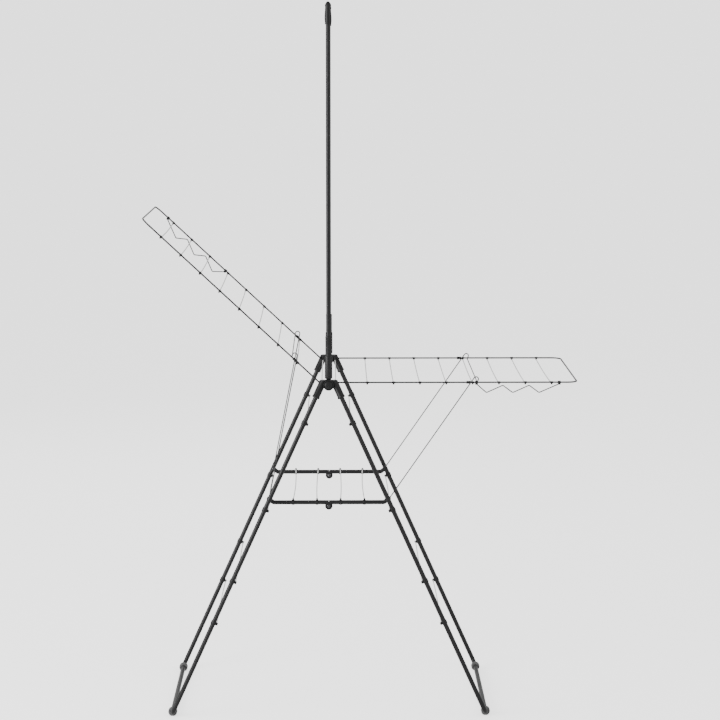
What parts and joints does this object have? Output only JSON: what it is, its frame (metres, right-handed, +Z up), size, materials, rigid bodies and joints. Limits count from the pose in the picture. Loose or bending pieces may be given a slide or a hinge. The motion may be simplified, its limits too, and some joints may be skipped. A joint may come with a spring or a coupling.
{
  "type": "folding clothes airer",
  "caption": "Free-standing folding clothes airer with A-frame legs, two hinged wings with drying lines, a folding centre shelf and a lift-out hanging rod.",
  "frame": {"origin": "on the floor, midway between the four feet, below the leg axle", "axes": "+X towards the level wing, -Y the front, +Z up"},
  "size_m": [1.2081, 0.5778, 2],
  "materials": {
    "painted_tube": "satin",
    "coated_wire": "satin",
    "dark_steel_pin": "satin",
    "black_plastic": "matte",
    "foot_rubber": "matte",
    "drying_line": "matte"
  },
  "bodies": {
    "root": {"front_hub": "black_plastic", "front_rod_collar": "black_plastic", "front_axle": "dark_steel_pin", "front_axle_cap": "black_plastic", "rear_hub": "black_plastic", "rear_rod_collar": "black_plastic", "rear_axle": "dark_steel_pin", "rear_axle_cap": "black_plastic"},
    "hanging_rod": {"top_rod": "painted_tube", "front_upright": "painted_tube", "front_elbow": "black_plastic", "rear_upright": "painted_tube", "rear_elbow": "black_plastic"},
    "left_leg": {"left_leg_frame": "painted_tube", "left_feet": "foot_rubber", "left_leg_clips": "black_plastic", "left_leg_lines": "drying_line", "left_leg_pins": "dark_steel_pin", "left_front_knuckle": "black_plastic", "left_rear_knuckle": "black_plastic"},
    "left_shelf": {"left_front_shelf_bar": "painted_tube", "left_rear_shelf_bar": "painted_tube", "left_shelf_clips": "black_plastic", "left_shelf_lines": "drying_line", "shelf_hinge_pins": "dark_steel_pin"},
    "left_wing": {"left_wing_frame": "coated_wire", "left_wing_clips": "black_plastic", "left_wing_lines": "drying_line", "left_hanger_wire": "coated_wire", "left_hanger_clips": "black_plastic", "left_stay_catches": "black_plastic"},
    "left_stay": {"left_stay": "coated_wire"},
    "right_leg": {"right_leg_frame": "painted_tube", "right_feet": "foot_rubber", "right_leg_clips": "black_plastic", "right_leg_lines": "drying_line", "right_leg_pins": "dark_steel_pin", "right_front_knuckle": "black_plastic", "right_rear_knuckle": "black_plastic"},
    "right_shelf": {"right_front_shelf_bar": "painted_tube", "right_rear_shelf_bar": "painted_tube", "right_shelf_clips": "black_plastic", "right_shelf_lines": "drying_line"},
    "right_wing": {"right_wing_frame": "coated_wire", "right_wing_clips": "black_plastic", "right_wing_lines": "drying_line", "right_hanger_wire": "coated_wire", "right_hanger_clips": "black_plastic", "right_stay_catches": "black_plastic"},
    "right_stay": {"right_stay": "coated_wire"}
  },
  "joints": [
    {"name": "rod_lift", "type": "slide", "parent": "root", "child": "hanging_rod", "axis": [0, 0, 1], "range_m": [0, 0.12]},
    {"name": "left_leg_fold", "type": "hinge", "parent": "root", "child": "left_leg", "pos_m": [0, 0, 0.949], "axis": [0, -1, 0], "range_deg": [0, 24.3]},
    {"name": "right_leg_fold", "type": "hinge", "parent": "root", "child": "right_leg", "pos_m": [0, 0, 0.949], "axis": [0, -1, 0], "range_deg": [-24.3, 0]},
    {"name": "left_shelf_fold", "type": "hinge", "parent": "left_leg", "child": "left_shelf", "pos_m": [-0.16723, 0, 0.62238], "axis": [0, -1, 0], "range_deg": [0, 66.39]},
    {"name": "shelf_middle_fold", "type": "hinge", "parent": "left_shelf", "child": "right_shelf", "pos_m": [0, 0, 0.60238], "axis": [0, -1, 0], "range_deg": [-181.38, 0]},
    {"name": "left_wing_fold", "type": "hinge", "parent": "left_leg", "child": "left_wing", "pos_m": [-0.02525, 0, 0.95382], "axis": [0, -1, 0], "range_deg": [0, 103]},
    {"name": "left_stay_fold", "type": "hinge", "parent": "left_leg", "child": "left_stay", "pos_m": [-0.16723, 0, 0.62238], "axis": [0, -1, 0], "range_deg": [0, 160.01]},
    {"name": "right_wing_fold", "type": "hinge", "parent": "right_leg", "child": "right_wing", "pos_m": [0.02525, 0, 0.95382], "axis": [0, -1, 0], "range_deg": [-60, 0]},
    {"name": "right_stay_fold", "type": "hinge", "parent": "right_leg", "child": "right_stay", "pos_m": [0.16723, 0, 0.62238], "axis": [0, -1, 0], "range_deg": [-112, 0]}
  ],
  "couplings": [
    {"joint": "right_leg_fold", "follows": "left_leg_fold", "ratio": -1},
    {"joint": "left_shelf_fold", "follows": "left_leg_fold", "ratio": 2.7319},
    {"joint": "shelf_middle_fold", "follows": "left_leg_fold", "ratio": -7.4638},
    {"joint": "left_stay_fold", "follows": "left_wing_fold", "ratio": 1.5534}
  ]
}
